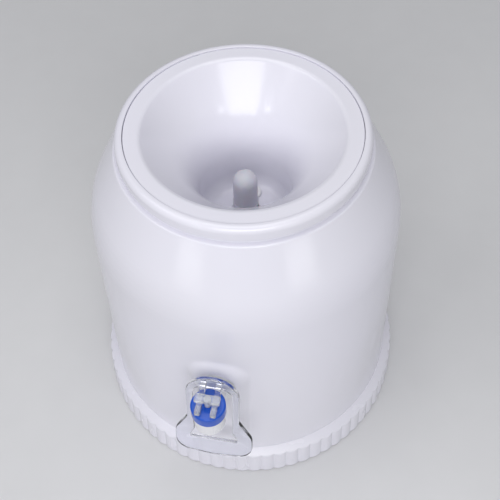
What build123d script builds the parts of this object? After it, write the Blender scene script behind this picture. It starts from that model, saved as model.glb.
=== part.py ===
from build123d import *
import math
import os

# Tabletop water dispenser for an upturned bottle.
# Millimetres, +Z up. The origin is on the body's axis, on the surface it stands on.
# The tap points along -Y.

# Body shell
FOOT_R = 120.0            # wall radius where it meets the base ring
FOOT_Z = 30.0             # height of that seam
WALL_DRAFT = 0.03         # radius lost for each millimetre of height
SHELL_WALL = 2.6
SHOULDER_ROUND = 90.0     # radius of the arc from wall to shoulder
SHOULDER_SLOPE = 0.5      # radius lost for each millimetre of height on the shoulder
SHOULDER_STEP = 4.0       # how far the shoulder's end stands out from the neck
NECK_STEP = 1.7           # how far the collar stands out from the neck
GROOVE_HEIGHT = 2.8
COLLAR_R = 87.7
COLLAR_LIP = 5.7          # width of the collar's flat top
COLLAR_ROUND = 4.4
COLLAR_HEIGHT = 13.6      # from the end of the shoulder to the top
TOTAL_HEIGHT = 282.0
LEDGE_DEPTH = 6.0         # from the collar's top down to the ledge that carries the seat
LEDGE_WIDTH = 2.5
LEDGE_THICKNESS = 3.0
SKIRT_STEP = 2.0          # how far the skirt inside the base ring is set in
SKIRT_Z = 7.6

# Flat pad that the tap is fixed to
PAD_HALF_WIDTH = 16.0
PAD_STEP = 1.4            # its face stands this far out from the wall's foot
PAD_ABOVE_TAP = 17.0      # its top above the tap's barrel
PAD_CORNER = 14.5
PAD_TAPER = 50.0          # degrees
PAD_ROOT = 14.0           # how deep its sides run into the wall

# Base
RING_STEP = 8.9           # crests of the flutes at the foot, out from the wall's foot
RING_TAPER = 1.3          # how far the crests lean in at their top
RING_CLEAR = 1.0          # the ring's skirt ends this far above the surface
FLUTE_TOP_Z = 22.9
FLUTE_COUNT = 74
FLUTE_DEPTH = 1.3
RING_SEAM = 0.4           # how far the ring's top edge stands out from the wall
RING_FIT = 0.4            # between the ring and the shell's skirt
RING_FLOOR = 3.0          # thickness of the ring's inward flange
RING_FLANGE = 18.4        # its width
FOOT_PAD_HEIGHT = 4.0     # rubber feet
FOOT_PAD_R = 8.0
MIDDLE_FOOT_R = 12.0
FOOT_PAD_COUNT = 4
FOOT_PEG_R = 3.0
FOOT_MARGIN = 0.6         # between the feet and the ring's wall
BASE_PLATE = 3.0
PLATE_FIT = 0.6
DRUM_R = 80.0             # wall on the base plate that carries the tank
DRUM_WALL = 2.5
RIB_COUNT = 6             # ribs outside the drum's foot
RIB_WIDTH = 17.0
RIB_HEIGHT = 22.0
SCREW_COUNT = 6
SCREW_INSET = 6.9         # from the inside of the skirt to the screws' circle
SCREW_SHANK_R = 1.9
SCREW_HEAD_R = 3.8
SCREW_HEAD = 2.2
SCREW_LENGTH = 18.0
SCREW_BOSS_R = 5.0
SCREW_BOSS_HEIGHT = 32.0
SCREW_WEB = 3.0           # web that ties a boss to the wall
RECESS_SPAN = 4.2         # cross recess in the screws' heads
RECESS_WIDTH = 1.0

# Inner tank
TANK_FLOOR_Z = 110.0
TANK_SIDE_GAP = 8.4       # between the tank's side and the inside of the wall's foot
TANK_WALL = 2.0
TANK_CORNER = 5.0
TANK_STRAIGHT = 9.0       # its shoulder ends this far below the casing's
TANK_GAP = 4.2            # level gap between the tank's shoulder and the outside of the shell's
TANK_NECK_GAP = 1.3
TANK_GASKET = 1.5

# Bottle seat
SEAT_FIT = 0.3            # between the seat's flange and the collar
SEAT_DROP = 1.0           # flange lies this far below the collar's top
SEAT_GASKET = 1.5
FLANGE_WIDTH = 10.9       # to the sharp corner before it is rounded
FLANGE_ROUND = 5.0
THROAT_R = 34.5
FUNNEL_ANGLE = 48.0       # degrees below level
FUNNEL_ROUND = 60.0       # radius of the long turn from funnel to throat
SEAT_WALL = 2.6
SEAT_DEPTH = 93.0         # from the flange's top down to the floor of the throat
SEAT_FLOOR = 3.0
SEAT_LIFT = 130.0

# Probe that opens the bottle, its gasket and nut
PROBE_R = 8.95
PROBE_LENGTH = 47.6       # from the floor of the throat to the tip
PROBE_BORE_R = 5.5
PROBE_DOME_WALL = 4.0
PROBE_FLANGE_R = 13.0
PROBE_FLANGE = 3.0
PROBE_FOOT_R = 9.6        # thicker foot of the tube, which holds the slots
PROBE_FOOT = 18.0         # its height above the floor of the throat
PROBE_SHANK_R = 7.0
PROBE_SHANK = 14.0        # length of the shank from the floor of the throat down
PROBE_SLOT_WIDTH = 5.0
PROBE_SLOT_HEIGHT = 11.0
PROBE_SLOT_RISE = 4.5     # from the floor of the throat up to the slots
PROBE_GASKET = 1.6
PROBE_NUT = 6.5
PROBE_NUT_R = 12.5

# Air vent beside the probe
VENT_OFFSET = 22.0
VENT_R = 5.0
VENT_BORE_R = 3.0
VENT_HEAD_R = 7.5
VENT_HEAD = 2.4
VENT_RIM = 2.0            # height of the latching rim under the floor
VENT_RIM_STEP = 0.9       # how far it stands out
VENT_LENGTH = 15.0
FILTER_LENGTH = 8.0

# Tap
TAP_RISE = 30.0           # the tap's barrel above the tank's floor
VALVE_STANDOFF = 19.6     # from the front of the tap's flange to the valve's axis
CAP_RISE = 18.5           # top of the cap above the barrel's axis
CAP_R = 12.5
CAP_HEIGHT = 10.0
CAP_ROOF = 4.5
CHAMBER_R = 11.2
CHAMBER_BORE_R = 8.2
VALVE_SEAT_DROP = 5.5     # valve seat below the barrel's axis
VALVE_SEAT = 3.0          # thickness of the chamber's floor, which is the valve seat
SPOUT_LENGTH = 9.5
SPOUT_R = 6.6
SPOUT_BORE_R = 4.5
BARREL_R = 8.0
BARREL_BORE_R = 4.2
TAP_FLANGE_R = 14.0
TAP_FLANGE = 3.0
WASHER = 2.0
SHANK_R = 8.2
SHANK_CLEAR = 0.3
SHANK_TAIL = 3.0          # shank beyond the nut
TAP_NUT = 7.0
TAP_NUT_R = 14.5
TANK_BOSS_R = 16.5
TANK_BOSS_FRONT_R = 12.5  # the narrower front of the boss, inside the pad
TANK_BOSS_INSIDE = 4.5    # how far the tank's boss stands into the tank
SHELL_TANK_GAP = 0.3

# Valve parts
STEM_R = 2.5
STEM_FIT = 0.08
STEM_DISC_R = 6.0
STEM_DISC = 1.5
CUP_R = 7.5
CUP_HEIGHT = 3.5
SPRING_R = 4.6            # to the middle of the wire
SPRING_WIRE_R = 0.5
SPRING_TURNS = 4
SPRING_POCKET = 2.5
STEM_SEAL = 1.4
STEM_SEAL_GAP = 0.05
TEE_HALF = 9.0            # half length of the bar on top of the stem
TEE_DEPTH = 6.0
TEE_HEIGHT = 3.7
TEE_ROUND = 1.0

# Push paddle
PADDLE_T = 2.6
PADDLE_LEAN = 8.5         # degrees from upright, foot forwards
BLADE_LEAN = 14.5         # the same below the crease
PADDLE_RISE = 9.5         # top of the paddle above the cap
PADDLE_HALF = 19.5
PADDLE_BACKSET = 14.1     # front face behind the valve's axis, at the top
SHOULDER_DROP = 48.6      # below the paddle's top
FLARE_HALF = 29.5
FLARE_DROP = 67.0
CREASE_DROP = 74.7
PADDLE_LENGTH = 92.8
PADDLE_BEND = 8.0         # radius of the bend at the crease
SHOULDER_TURN = 2.5       # radii along the paddle's edge, from its shoulder down
FLARE_TURN = 18.0
FOOT_CORNER = 12.0
FOOT_TURN = 60.0
WINDOW_HALF = 14.5
WINDOW_TOP_DROP = 10.3
WINDOW_FOOT_HALF = 18.6
WINDOW_FLARE_DROP = 64.4
WINDOW_TOP_TURN = 9.0     # radii round the window, from its top down
WINDOW_FLARE_TURN = 4.0
WINDOW_CORNER = 1.2
ARM_INSIDE = 3.6
ARM_OUTSIDE = 7.4
ARM_FOOT_R = 2.0
ARM_REACH = 8.5           # from the valve's axis forward to the arms' feet
ARM_CLEAR = 0.3           # under the feet and under the bar of the stem
ARM_RISE = 5.5            # top of the arms above the cap
PADDLE_SWING = 12.0       # degrees
LIFT_PER_RADIAN = 11.8    # rise of the stem as the paddle swings

Z_UP = (Align.CENTER, Align.CENTER, Align.MIN)


def turned(points, rounding=None):
    """Solid of revolution about Z from an outline of (radius, height) points."""
    if rounding is None:
        outline = Polyline(*points, close=True)
    else:
        outline = FilletPolyline(*points, radius=rounding, close=True)
    return revolve(Plane.XZ * make_face(outline), axis=Axis.Z)


def rod(radius, low, high):
    """Upright round bar on the Z axis."""
    return Pos(0, 0, low) * Cylinder(radius, high - low, align=Z_UP)


def tube(outside, inside, low, high):
    """Upright round tube on the Z axis."""
    return rod(outside, low, high) - rod(inside, low - 1, high + 1)


def bar_y(radius, near, far, height):
    """Round bar along +Y at X = 0, from Y = near to Y = far."""
    return Pos(0, near, height) * Rot(-90, 0, 0) * Cylinder(radius, far - near, align=Z_UP)


def hexagon(corner_radius, low, high):
    """Upright hexagonal bar on the Z axis."""
    return Pos(0, 0, low) * extrude(RegularPolygon(corner_radius, 6), high - low)


def around(count, radius, start=0.0):
    """Places spread evenly on a circle about Z."""
    return [Rot(0, 0, start + 360.0 / count * step) * Pos(radius, 0, 0) for step in range(count)]


# Places worked out from the driving dimensions
wall_at_foot = FOOT_R + WALL_DRAFT * FOOT_Z
neck_r = COLLAR_R - NECK_STEP
shoulder_z = TOTAL_HEIGHT - COLLAR_HEIGHT
shoulder_line = neck_r + SHOULDER_STEP + SHOULDER_SLOPE * shoulder_z
shoulder_corner_z = (shoulder_line - wall_at_foot) / (SHOULDER_SLOPE - WALL_DRAFT)
shoulder_corner_r = wall_at_foot - WALL_DRAFT * shoulder_corner_z
skirt_r = FOOT_R - SKIRT_STEP
ledge_z = TOTAL_HEIGHT - LEDGE_DEPTH
mouth_r = COLLAR_R - COLLAR_LIP
ledge_r = mouth_r - LEDGE_WIDTH
neck_inside = neck_r - SHELL_WALL
ring_r = FOOT_R + RING_STEP
ring_inside = skirt_r + RING_FIT
foot_circle_r = ring_inside - FOOT_PAD_R - FOOT_MARGIN
screw_circle_r = skirt_r - SHELL_WALL - SCREW_INSET
ring_floor_top = FOOT_PAD_HEIGHT + RING_FLOOR
plate_top = ring_floor_top + BASE_PLATE
tank_r = FOOT_R - SHELL_WALL - TANK_SIDE_GAP
tank_rim = ledge_z - LEDGE_THICKNESS - TANK_GASKET
tank_neck_r = neck_inside - TANK_NECK_GAP
flange_top = TOTAL_HEIGHT - SEAT_DROP
flange_bottom = ledge_z + SEAT_GASKET
flange_r = mouth_r - SEAT_FIT
flange_inside_r = flange_r - FLANGE_WIDTH
seat_floor_top = flange_top - SEAT_DEPTH
seat_floor_z = seat_floor_top - SEAT_FLOOR
funnel_rise = math.tan(math.radians(FUNNEL_ANGLE))
throat_corner_z = flange_top - (flange_inside_r - THROAT_R) * funnel_rise
barrel_z = TANK_FLOOR_Z + TAP_RISE
pad_face = FOOT_R + PAD_STEP
pad_top = barrel_z + PAD_ABOVE_TAP
pad_inside = pad_face - SHELL_WALL
tank_boss_face = pad_inside - SHELL_TANK_GAP
tank_boss_back = tank_r - TANK_WALL - TANK_BOSS_INSIDE
washer_front = pad_face + WASHER
tap_flange_front = washer_front + TAP_FLANGE
valve_reach = tap_flange_front + VALVE_STANDOFF
nut_front = tank_boss_back - WASHER
shank_end = nut_front - TAP_NUT - SHANK_TAIL
cap_top = barrel_z + CAP_RISE
cap_bottom = cap_top - CAP_HEIGHT
chamber_top = cap_top - CAP_ROOF
valve_seat_z = barrel_z - VALVE_SEAT_DROP
chamber_bottom = valve_seat_z - VALVE_SEAT
spout_end_z = chamber_bottom - SPOUT_LENGTH
cup_top = valve_seat_z + CUP_HEIGHT
disc_top = cup_top + STEM_DISC
pocket_top = chamber_top + SPRING_POCKET
arm_top = cap_top + ARM_RISE
tee_bottom = arm_top + ARM_CLEAR
tee_top = tee_bottom + TEE_HEIGHT
arm_bottom = cap_top + ARM_CLEAR
paddle_top = cap_top + PADDLE_RISE
plate_y = -(valve_reach - PADDLE_BACKSET)
hinge_y = -(valve_reach + ARM_REACH)
hinge_z = arm_bottom + ARM_FOOT_R
valve = Pos(0, -valve_reach, 0)


def body_solid(inset):
    """The body's wall and shoulder as a full solid, with its side drawn in by inset."""
    floor_z = SKIRT_Z if inset == 0 else SKIRT_Z - 1
    step_z = FOOT_Z + 2 * inset
    end_z = shoulder_z if inset == 0 else shoulder_z - 2 * inset
    points = [
        (0, floor_z),
        (skirt_r - inset, floor_z),
        (skirt_r - inset, step_z),
        (wall_at_foot - WALL_DRAFT * step_z - inset, step_z),
        (shoulder_corner_r - inset, shoulder_corner_z),
        (shoulder_line - SHOULDER_SLOPE * end_z - inset, end_z),
        (neck_r - inset, end_z),
        (neck_r - inset, ledge_z - LEDGE_THICKNESS),
        (0, ledge_z - LEDGE_THICKNESS),
    ]
    rounding = [0, 0, 0, 0, SHOULDER_ROUND - inset, 1.6, 1.0, 0, 0]
    return turned(points, rounding)


def pad_solid(face, inset):
    """Flat pad for the tap, running down into the base ring, its sides sloping out to the wall."""
    half = PAD_HALF_WIDTH - inset
    corner = PAD_CORNER - inset
    height = pad_top - inset - FOOT_Z
    outline = Pos(0, FOOT_Z + height / 2) * RectangleRounded(2 * half, height, corner)
    foot = Pos(0, FOOT_Z + height / 4) * Rectangle(2 * half, height / 2)
    plane = Plane(origin=(0, -face, 0), x_dir=(1, 0, 0), z_dir=(0, -1, 0))
    depth = PAD_STEP + PAD_ROOT
    pad = extrude(plane * (outline + foot), -depth, taper=-PAD_TAPER)
    return pad & Pos(0, 0, FOOT_Z) * Box(4 * half, 4 * FOOT_R, 2 * height, align=Z_UP)


def screw_bosses():
    """Bosses inside the skirt that the base screws bite into, each tied to the wall by a web."""
    height = SCREW_BOSS_HEIGHT
    boss = Pos(0, 0, plate_top) * Cylinder(SCREW_BOSS_R, height, align=Z_UP)
    reach = skirt_r - SHELL_WALL / 2 - screw_circle_r
    web = Pos(reach / 2, 0, plate_top) * Box(reach, SCREW_WEB, height, align=Z_UP)
    pilot = rod(SCREW_SHANK_R + 0.05, plate_top - 1, plate_top + SCREW_LENGTH)
    return [place * (boss + web - pilot) for place in around(SCREW_COUNT, screw_circle_r)]


def body_shell():
    """Outer casing: wall, shoulder, groove, collar bead with its ledge, tap pad and screw bosses."""
    collar_low = shoulder_z + GROOVE_HEIGHT
    collar = turned(
        [
            (ledge_r, ledge_z - LEDGE_THICKNESS),
            (neck_r - 0.5, ledge_z - LEDGE_THICKNESS),
            (neck_r - 0.5, collar_low),
            (COLLAR_R, collar_low),
            (COLLAR_R, TOTAL_HEIGHT),
            (mouth_r, TOTAL_HEIGHT),
            (mouth_r, ledge_z),
            (ledge_r, ledge_z),
        ],
        [0, 0, 0, 0.8, COLLAR_ROUND, 0.4, 0, 0.4],
    )
    outside = body_solid(0) + pad_solid(pad_face, 0)
    inside = body_solid(SHELL_WALL) + pad_solid(pad_inside, SHELL_WALL)
    shell = outside - inside + collar
    for boss in screw_bosses():
        shell += boss
    return shell - bar_y(SHANK_R + SHANK_CLEAR, -pad_face - 1, -pad_inside + 1, barrel_z)


def fluted_face(crest, height):
    """Scalloped outline of the base ring: one arc for each flute, from valley to valley."""
    pitch = 360.0 / FLUTE_COUNT
    valley = crest - FLUTE_DEPTH
    arcs = []
    for step in range(FLUTE_COUNT):
        a, b, c = [math.radians(pitch * (step + part)) for part in (-0.5, 0, 0.5)]
        start = (valley * math.cos(a), valley * math.sin(a))
        middle = (crest * math.cos(b), crest * math.sin(b))
        end = (valley * math.cos(c), valley * math.sin(c))
        arcs.append(ThreePointArc(start, middle, end))
    return Pos(0, 0, height) * make_face(Wire(arcs))


def fluted_blank():
    """Block with scalloped sides, tapering a little upwards."""
    slope = RING_TAPER / (FLUTE_TOP_Z - RING_CLEAR)
    top_r = ring_r - slope * FOOT_Z
    return loft([fluted_face(ring_r, RING_CLEAR), fluted_face(top_r, RING_CLEAR + FOOT_Z)], ruled=True)


def base_ring():
    """Fluted ring round the foot, with a rounded ledge above and a flange below."""
    inside = ring_inside
    top_r = ring_r - RING_TAPER
    envelope = turned(
        [
            (inside, RING_CLEAR),
            (ring_r + 0.3, RING_CLEAR),
            (top_r + 0.3, FLUTE_TOP_Z + 2.5),
            (FOOT_R + RING_SEAM, FOOT_Z),
            (inside, FOOT_Z),
        ],
        [0, 0.8, 4.5, 1.0, 0],
    )
    flange = tube(inside + 1, inside - RING_FLANGE, FOOT_PAD_HEIGHT, ring_floor_top)
    ring = (envelope & fluted_blank()) + flange
    for place in around(FOOT_PAD_COUNT, foot_circle_r, 45):
        ring -= place * rod(FOOT_PEG_R + 0.05, 0, ring_floor_top + 1)
    for place in around(SCREW_COUNT, screw_circle_r):
        ring -= place * rod(SCREW_SHANK_R + 0.3, 0, ring_floor_top + 1)
    return ring


def base_plate():
    """Floor disc inside the ring, with the drum that carries the tank."""
    radius = skirt_r - SHELL_WALL - PLATE_FIT
    plate = rod(radius, ring_floor_top, plate_top)
    drum = tube(DRUM_R, DRUM_R - DRUM_WALL, plate_top - 0.5, TANK_FLOOR_Z)
    base = plate + drum
    rib = Pos(RIB_WIDTH / 2 - 0.5, 0, plate_top - 0.5) * Box(RIB_WIDTH + 1, DRUM_WALL, RIB_HEIGHT, align=Z_UP)
    for place in around(RIB_COUNT, DRUM_R, 180.0 / RIB_COUNT):
        base += place * rib
    base -= rod(FOOT_PEG_R + 0.05, ring_floor_top - 1, plate_top + 1)
    for place in around(SCREW_COUNT, screw_circle_r):
        base -= place * rod(SCREW_SHANK_R + 0.3, ring_floor_top - 1, plate_top + 1)
    return base


def rubber_feet():
    """Rubber feet with pegs: four under the ring's flange and one under the middle of the plate."""
    height = FOOT_PAD_HEIGHT
    foot = turned([(0, 0), (FOOT_PAD_R, 0), (FOOT_PAD_R, height), (0, height)], [0, 1, 0.3, 0])
    peg = rod(FOOT_PEG_R, FOOT_PAD_HEIGHT - 0.5, ring_floor_top)
    feet = [place * (foot + peg) for place in around(FOOT_PAD_COUNT, foot_circle_r, 45)]
    top = ring_floor_top
    middle = turned([(0, 0), (MIDDLE_FOOT_R, 0), (MIDDLE_FOOT_R, top), (0, top)], [0, 1, 0.3, 0])
    feet.append(middle + rod(FOOT_PEG_R, top - 0.5, plate_top))
    return Compound(feet)


def base_screws():
    """Pan-head screws that hold ring and plate to the casing."""
    head_low = FOOT_PAD_HEIGHT - SCREW_HEAD
    head = rod(SCREW_HEAD_R, head_low, FOOT_PAD_HEIGHT)
    shank = rod(SCREW_SHANK_R, FOOT_PAD_HEIGHT, head_low + SCREW_LENGTH)
    arm = Box(RECESS_SPAN, RECESS_WIDTH, SCREW_HEAD)
    recess = Pos(0, 0, head_low) * (arm + Rot(0, 0, 90) * arm)
    screw = head + shank - recess
    return Compound([place * screw for place in around(SCREW_COUNT, screw_circle_r)])


def tank_solid(inset):
    """The tank's outside as a full solid, or its inside when drawn in by inset."""
    floor_z = TANK_FLOOR_Z + inset
    line = shoulder_line - SHELL_WALL - TANK_GAP
    corner_z = (line - tank_r) / SHOULDER_SLOPE
    end_z = shoulder_z - TANK_STRAIGHT
    rim = tank_rim if inset == 0 else tank_rim + 1
    points = [
        (0, floor_z),
        (tank_r - inset, floor_z),
        (tank_r - inset, corner_z),
        (line - SHOULDER_SLOPE * end_z - inset, end_z - inset / 2),
        (tank_neck_r - inset, end_z + 2 - inset / 2),
        (tank_neck_r - inset, rim),
        (0, rim),
    ]
    rounding = [0, TANK_CORNER - inset, SHOULDER_ROUND - 20, 2, 0, 0, 0]
    return turned(points, rounding)


def inner_tank():
    """Water tank with a shoulder that follows the casing and a boss for the tap's shank."""
    boss = bar_y(TANK_BOSS_FRONT_R, -tank_boss_face, -tank_boss_back, barrel_z)
    boss += bar_y(TANK_BOSS_R, -tank_r + TANK_WALL, -tank_boss_back, barrel_z)
    hollow = tank_solid(TANK_WALL)
    tank = tank_solid(0) - hollow + boss
    return tank - bar_y(SHANK_R + SHANK_CLEAR, -tank_boss_face - 1, -tank_boss_back + 1, barrel_z)


def tank_gasket():
    """Flat ring between the tank's rim and the casing's ledge."""
    return tube(tank_neck_r, tank_neck_r - TANK_WALL, tank_rim, tank_rim + TANK_GASKET)


def seat_gasket():
    """Flat ring between the casing's ledge and the bottle seat."""
    return tube(mouth_r - SEAT_FIT, ledge_r + 0.2, ledge_z, flange_bottom)


def bottle_seat():
    """Lift-out seat: flange, funnel and throat, with a floor that holds the probe and the vent."""
    shift = SEAT_WALL / math.sin(math.radians(FUNNEL_ANGLE))
    under_flange_r = flange_inside_r - (flange_top - flange_bottom) / funnel_rise + shift
    under_throat_r = THROAT_R + SEAT_WALL
    under_corner_z = flange_top - (flange_inside_r - under_throat_r + shift) * funnel_rise
    points = [
        (0, seat_floor_z),
        (under_throat_r, seat_floor_z),
        (under_throat_r, under_corner_z),
        (under_flange_r, flange_bottom),
        (flange_r, flange_bottom),
        (flange_r, flange_top),
        (flange_inside_r, flange_top),
        (THROAT_R, throat_corner_z),
        (THROAT_R, seat_floor_top),
        (0, seat_floor_top),
    ]
    rounding = [0, 3, FUNNEL_ROUND - SEAT_WALL, 2, 0, 0.6, FLANGE_ROUND, FUNNEL_ROUND, 3, 0]
    seat = turned(points, rounding)
    seat -= rod(PROBE_SHANK_R + 0.1, seat_floor_z - 1, seat_floor_top + 1)
    return seat - Pos(0, VENT_OFFSET, 0) * rod(VENT_R + 0.05, seat_floor_z - 1, seat_floor_top + 1)


def probe():
    """Upright feed tube with a rounded tip, slots in its thicker foot, a flange and a threaded shank."""
    shank_low = seat_floor_top - PROBE_SHANK
    tip = seat_floor_top + PROBE_LENGTH
    body = turned(
        [
            (0, shank_low),
            (PROBE_SHANK_R, shank_low),
            (PROBE_SHANK_R, seat_floor_top),
            (PROBE_FLANGE_R, seat_floor_top),
            (PROBE_FLANGE_R, seat_floor_top + PROBE_FLANGE),
            (PROBE_FOOT_R, seat_floor_top + PROBE_FLANGE),
            (PROBE_FOOT_R, seat_floor_top + PROBE_FOOT),
            (PROBE_R, seat_floor_top + PROBE_FOOT),
            (PROBE_R, tip),
            (0, tip),
        ],
        [0, 0.5, 0, 0, 1, 1, 0.3, 0, PROBE_R - 0.05, 0],
    )
    body -= rod(PROBE_BORE_R, shank_low - 1, tip - PROBE_DOME_WALL)
    slot = Box(4 * PROBE_R, PROBE_SLOT_WIDTH, PROBE_SLOT_HEIGHT, align=Z_UP)
    return body - Pos(0, 0, seat_floor_top + PROBE_SLOT_RISE) * slot


def probe_gasket():
    """Rubber ring under the seat's floor, round the probe's shank."""
    low = seat_floor_z - PROBE_GASKET
    return tube(PROBE_FLANGE_R - 1, PROBE_SHANK_R + 0.1, low, seat_floor_z)


def probe_nut():
    """Hexagonal nut that clamps the probe to the seat."""
    top = seat_floor_z - PROBE_GASKET
    nut = hexagon(PROBE_NUT_R, top - PROBE_NUT, top)
    return nut - rod(PROBE_SHANK_R + 0.05, top - PROBE_NUT - 1, top + 1)


def vent_housing():
    """Air vent pushed through the seat's floor: a flanged tube with a latching rim below."""
    head = rod(VENT_HEAD_R, seat_floor_top, seat_floor_top + VENT_HEAD)
    stalk = rod(VENT_R, seat_floor_top - VENT_LENGTH, seat_floor_top)
    rim_top = seat_floor_z - 0.05
    rim = Pos(0, 0, rim_top - VENT_RIM) * Cone(VENT_R, VENT_R + VENT_RIM_STEP, VENT_RIM, align=Z_UP)
    vent = fillet((head + stalk + rim).edges().group_by(Axis.Z)[-1], 0.8)
    bore = rod(VENT_BORE_R, seat_floor_top - VENT_LENGTH - 1, seat_floor_top + VENT_HEAD + 1)
    return Pos(0, VENT_OFFSET, 0) * (vent - bore)


def vent_filter():
    """Plug of filter foam inside the vent."""
    low = seat_floor_top - VENT_LENGTH + 1.5
    return Pos(0, VENT_OFFSET, 0) * rod(VENT_BORE_R, low, low + FILTER_LENGTH)


def tap_body():
    """One moulding: valve chamber, spout, horizontal barrel, flange and threaded shank."""
    chamber = rod(CHAMBER_R, chamber_bottom, chamber_top)
    chamber = fillet(chamber.edges().group_by(Axis.Z)[0], 1.2)
    spout = rod(SPOUT_R, spout_end_z, valve_seat_z)
    spout = chamfer(spout.edges().group_by(Axis.Z)[0], 0.8)
    upright = valve * (chamber + spout)
    barrel = bar_y(BARREL_R, -valve_reach + CHAMBER_BORE_R + 0.5, -tap_flange_front + 1, barrel_z)
    flange = bar_y(TAP_FLANGE_R, -tap_flange_front, -washer_front, barrel_z)
    flange = fillet(flange.edges().group_by(Axis.Y)[0], 1.0)
    shank = bar_y(SHANK_R, -washer_front - 0.5, -shank_end, barrel_z)
    tap = upright + barrel + flange + shank
    tap -= valve * rod(CHAMBER_BORE_R, valve_seat_z, chamber_top + 1)
    tap -= valve * rod(SPOUT_BORE_R, spout_end_z - 1, valve_seat_z + 1)
    return tap - bar_y(BARREL_BORE_R, -valve_reach, -shank_end + 1, barrel_z)


def tap_washer():
    """Rubber washer between the tap's flange and the pad."""
    ring = bar_y(TAP_FLANGE_R, -washer_front, -pad_face, barrel_z)
    return ring - bar_y(SHANK_R + 0.1, -washer_front - 1, -pad_face + 1, barrel_z)


def tank_washer():
    """Rubber washer between the tank's boss and the nut."""
    ring = bar_y(TAP_NUT_R, -tank_boss_back, -nut_front, barrel_z)
    return ring - bar_y(SHANK_R + 0.1, -tank_boss_back - 1, -nut_front + 1, barrel_z)


def tap_nut():
    """Wing-free hexagonal nut inside the tank."""
    nut = hexagon(TAP_NUT_R, 0, TAP_NUT) - rod(SHANK_R + 0.05, -1, TAP_NUT + 1)
    return Pos(0, -nut_front, barrel_z) * Rot(-90, 0, 0) * nut


def bonnet_cap():
    """Coloured cap over the valve chamber, with a pocket for the spring and a hole for the stem."""
    cap = rod(CAP_R, cap_bottom, cap_top)
    cap = fillet(cap.edges().group_by(Axis.Z)[-1], 1.5)
    cap = chamfer(cap.edges().group_by(Axis.Z)[0], 0.4)
    cap -= rod(CHAMBER_R + 0.05, cap_bottom - 1, chamber_top)
    cap -= rod(STEM_DISC_R + 0.1, chamber_top - 1, pocket_top)
    cap -= rod(STEM_R + STEM_FIT, chamber_top, cap_top + 1)
    return valve * cap


def valve_stem():
    """Lifting rod with a disc that the spring presses on."""
    top = tee_top - 1.2
    stem = rod(STEM_R, valve_seat_z + 2.2, top)
    return valve * (stem + rod(STEM_DISC_R, cup_top, disc_top))


def seat_cup():
    """Soft cup on the stem's foot that closes the way to the spout."""
    cup = rod(CUP_R, valve_seat_z, cup_top)
    cup = fillet(cup.edges().group_by(Axis.Z)[0], 1.0)
    return valve * (cup - rod(STEM_R + STEM_SEAL_GAP, valve_seat_z + 2, cup_top + 1))


def stem_tee():
    """Cross bar on top of the stem, lifted by the paddle's arms."""
    bar = Pos(0, 0, tee_bottom) * Box(2 * TEE_HALF, TEE_DEPTH, TEE_HEIGHT, align=Z_UP)
    bar = fillet(bar.edges().filter_by(Axis.X).group_by(Axis.Z)[-1], TEE_ROUND)
    return valve * (bar - rod(STEM_R + STEM_SEAL_GAP, tee_bottom - 1, tee_top - 1.1))


def stem_seal():
    """Flat rubber ring round the stem at the top of the cap's pocket."""
    low = pocket_top - STEM_SEAL
    return valve * tube(STEM_DISC_R - 0.1, STEM_R + STEM_SEAL_GAP, low, pocket_top)


def valve_spring():
    """Coil spring between the stem's disc and the seal, cut flat by its ends' closed turns."""
    low = disc_top + SPRING_WIRE_R
    high = pocket_top - STEM_SEAL - SPRING_WIRE_R
    path = Helix((high - low) / SPRING_TURNS, high - low, SPRING_R)
    section = Plane(origin=path @ 0, z_dir=path % 0) * Circle(SPRING_WIRE_R)
    coil = sweep(section, path=path)
    return valve * Pos(0, 0, low) * coil


def bell(points, rounding, near, far):
    """Bar along Y with a section that is symmetric about X = 0, from its right-hand points."""
    mirrored = [(-x, z) for x, z in reversed(points) if x > 0]
    radii = rounding + [r for (x, z), r in zip(reversed(points), reversed(rounding)) if x > 0]
    face = make_face(FilletPolyline(*(points + mirrored), radius=radii, close=True))
    plane = Plane(origin=(0, near, 0), x_dir=(1, 0, 0), z_dir=(0, -1, 0))
    return extrude(plane * face, near - far)


def paddle_strip():
    """Bent strip that the paddle is cut from, seen from the side."""
    upper = math.radians(PADDLE_LEAN)
    lower = math.radians(BLADE_LEAN)
    half = (upper + lower) / 2
    bend = CREASE_DROP + 1.0
    spare = 6.0
    rest = PADDLE_LENGTH - bend + spare
    top_y = plate_y + spare * math.tan(upper)
    top_z = paddle_top + spare
    bend_y = plate_y - bend * math.tan(upper)
    bend_z = paddle_top - bend
    end_y = bend_y - rest * math.tan(lower)
    end_z = bend_z - rest
    corner = PADDLE_T / math.cos(half - upper)
    side_face = make_face(
        FilletPolyline(
            (top_y, top_z),
            (bend_y, bend_z),
            (end_y, end_z),
            (end_y + PADDLE_T * math.cos(lower), end_z - PADDLE_T * math.sin(lower)),
            (bend_y + corner * math.cos(half), bend_z - corner * math.sin(half)),
            (top_y + PADDLE_T * math.cos(upper), top_z - PADDLE_T * math.sin(upper)),
            radius=[0, PADDLE_BEND, 0, 0, PADDLE_BEND + PADDLE_T, 0],
            close=True,
        )
    )
    side = Plane(origin=(-2 * FLARE_HALF, 0, 0), x_dir=(0, 1, 0), z_dir=(1, 0, 0))
    return extrude(side * side_face, 4 * FLARE_HALF)


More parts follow.
